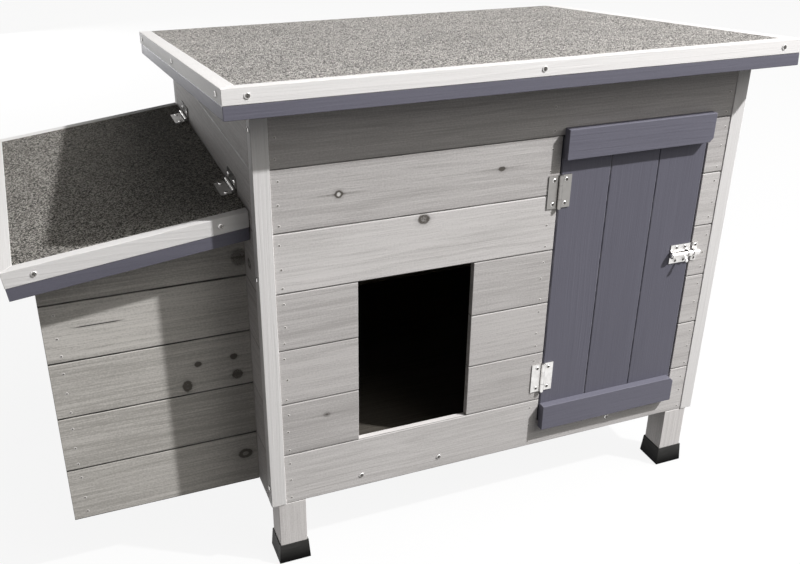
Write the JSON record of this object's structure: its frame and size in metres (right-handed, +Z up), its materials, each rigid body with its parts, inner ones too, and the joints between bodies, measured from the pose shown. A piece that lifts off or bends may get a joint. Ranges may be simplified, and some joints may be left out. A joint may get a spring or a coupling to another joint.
{
  "type": "rabbit hutch",
  "caption": "Boarded wooden rabbit hutch with a felted pent roof, an open doorway, a hinged and bolted side door, and a side nest box under a hinged felted lid.",
  "frame": {"origin": "on the ground under the middle of the whole hutch's box", "axes": "+X along the front from the nest box to the door, +Y from the front to the rear, +Z up"},
  "size_m": [0.9448, 0.5904, 0.6476],
  "materials": {
    "grey_board": "grey wash over softwood grain",
    "white_trim": "thin white paint",
    "blue_paint": "blue-grey paint, satin",
    "bare_wood": "bare softwood",
    "roof_felt": "mineral bitumen felt",
    "zinc": "zinc plated",
    "foot_plastic": "moulded"
  },
  "bodies": {
    "house": {"front_board_1": "grey_board", "front_board_2": "grey_board", "front_board_3": "grey_board", "front_board_4": "grey_board", "front_board_5": "grey_board", "front_board_6": "grey_board", "front_board_7": "grey_board", "left_wall_boards": "grey_board", "right_wall_boards": "grey_board", "rear_wall_boards": "grey_board", "corner_trim_front_left": "white_trim", "leg_front_left": "grey_board", "corner_trim_front_right": "white_trim", "leg_front_right": "grey_board", "corner_trim_rear_left": "white_trim", "leg_rear_left": "grey_board", "corner_trim_rear_right": "white_trim", "leg_rear_right": "grey_board", "foot_caps": "foot_plastic", "floor_panel": "bare_wood", "floor_bearers": "bare_wood", "wall_battens": "bare_wood", "roof_panel": "bare_wood", "roof_felt": "roof_felt", "roof_trim_front": "white_trim", "roof_trim_left": "white_trim", "roof_trim_right": "white_trim", "roof_fascia_front": "blue_paint", "roof_fascia_left": "blue_paint", "roof_fascia_right": "blue_paint", "roof_fascia_rear": "blue_paint", "nest_front_boards": "grey_board", "nest_end_boards": "grey_board", "nest_rear_boards": "grey_board", "nest_floor": "bare_wood", "nest_battens": "bare_wood", "hinge_wall_leaves": "zinc", "hinge_pins": "zinc", "bolt_keeper": "zinc", "roof_screws": "zinc", "corner_screws": "zinc", "wall_hinge_screws": "zinc"},
    "door": {"door_board_left": "blue_paint", "door_board_middle": "blue_paint", "door_board_right": "blue_paint", "door_rail_top": "blue_paint", "door_rail_bottom": "blue_paint", "hinge_door_leaves": "zinc", "bolt_plate": "zinc", "door_screws": "zinc"},
    "bolt": {"bolt_rod": "zinc"},
    "nest_lid": {"lid_panel": "bare_wood", "lid_felt": "roof_felt", "lid_trim_front": "white_trim", "lid_trim_end": "white_trim", "lid_trim_rear": "white_trim", "lid_fascias": "blue_paint", "hinge_lid_leaves": "zinc", "lid_screws": "zinc"}
  },
  "joints": [
    {"name": "door_hinge", "type": "hinge", "parent": "house", "child": "door", "pos_m": [0.17123, -0.25673, 0.095], "axis": [0, 0, -1], "range_deg": [0, 110]},
    {"name": "bolt_slide", "type": "slide", "parent": "door", "child": "bolt", "axis": [1, 0, 0], "range_m": [-0.013, 0]},
    {"name": "nest_lid_hinge", "type": "hinge", "parent": "house", "child": "nest_lid", "pos_m": [-0.21167, -0.22883, 0.49389], "axis": [0, 1, 0], "range_deg": [0, 70]}
  ]
}
